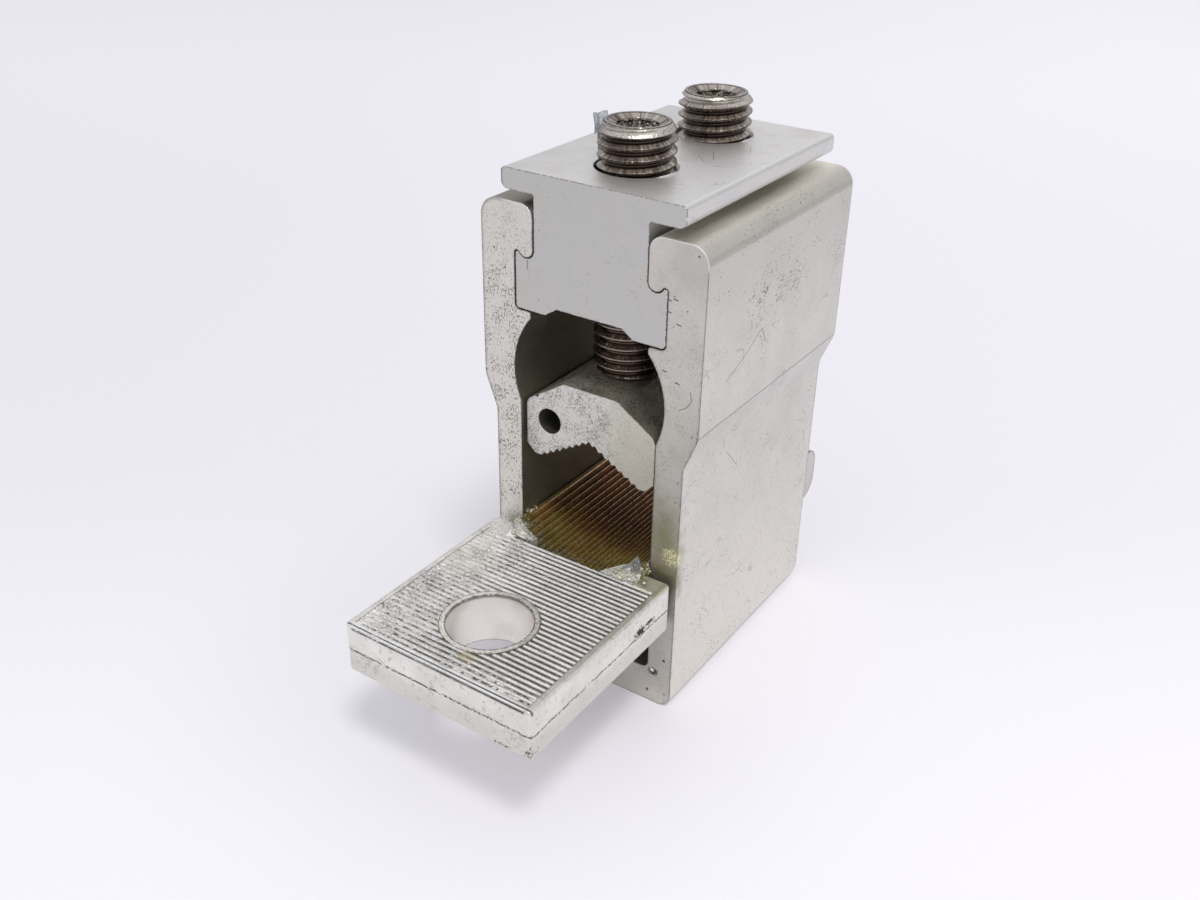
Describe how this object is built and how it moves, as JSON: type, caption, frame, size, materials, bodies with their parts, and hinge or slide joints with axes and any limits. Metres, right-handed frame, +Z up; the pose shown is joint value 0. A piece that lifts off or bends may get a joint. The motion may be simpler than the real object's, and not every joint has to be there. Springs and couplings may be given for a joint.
{
  "type": "equipment terminal clamp",
  "caption": "Cable clamp for an equipment terminal: socket set screws in a sliding block press a serrated jaw onto a ribbed trough, with a drilled palm for bolting.",
  "frame": {"origin": "centre of the cage's underside", "axes": "+X across the clamp, +Y along the conductor away from the bolt palm, +Z up along the set screws"},
  "size_m": [0.04, 0.0904, 0.0944],
  "materials": {
    "cage_metal": "tin plated over an extruded skin, satin, pitted and scratched",
    "tang_metal": "bright tin plating, ribs greased",
    "block_metal": "matt mill finish",
    "screw_steel": "rolled thread, dull and worn",
    "jaw_metal": "tin plated, frosted and pitted"
  },
  "bodies": {
    "cage": {"cage": "cage_metal", "tang": "tang_metal"},
    "block": {"screw_block": "block_metal"},
    "front_screw": {"screw_front": "screw_steel"},
    "rear_screw": {"screw_rear": "screw_steel"},
    "jaw": {"jaw": "jaw_metal"}
  },
  "joints": [
    {"name": "block_slide", "type": "slide", "parent": "cage", "child": "block", "axis": [0, 1, 0], "range_m": [-0.05, 0.05]},
    {"name": "front_screw_travel", "type": "slide", "parent": "block", "child": "front_screw", "axis": [0, 0, -1], "range_m": [-0.01, 0.013]},
    {"name": "rear_screw_travel", "type": "slide", "parent": "block", "child": "rear_screw", "axis": [0, 0, -1], "range_m": [-0.01, 0.013]},
    {"name": "jaw_travel", "type": "slide", "parent": "block", "child": "jaw", "axis": [0, 0, -1], "range_m": [-0.01, 0.013]}
  ],
  "couplings": [
    {"joint": "rear_screw_travel", "follows": "front_screw_travel", "ratio": 1},
    {"joint": "jaw_travel", "follows": "front_screw_travel", "ratio": 1}
  ]
}
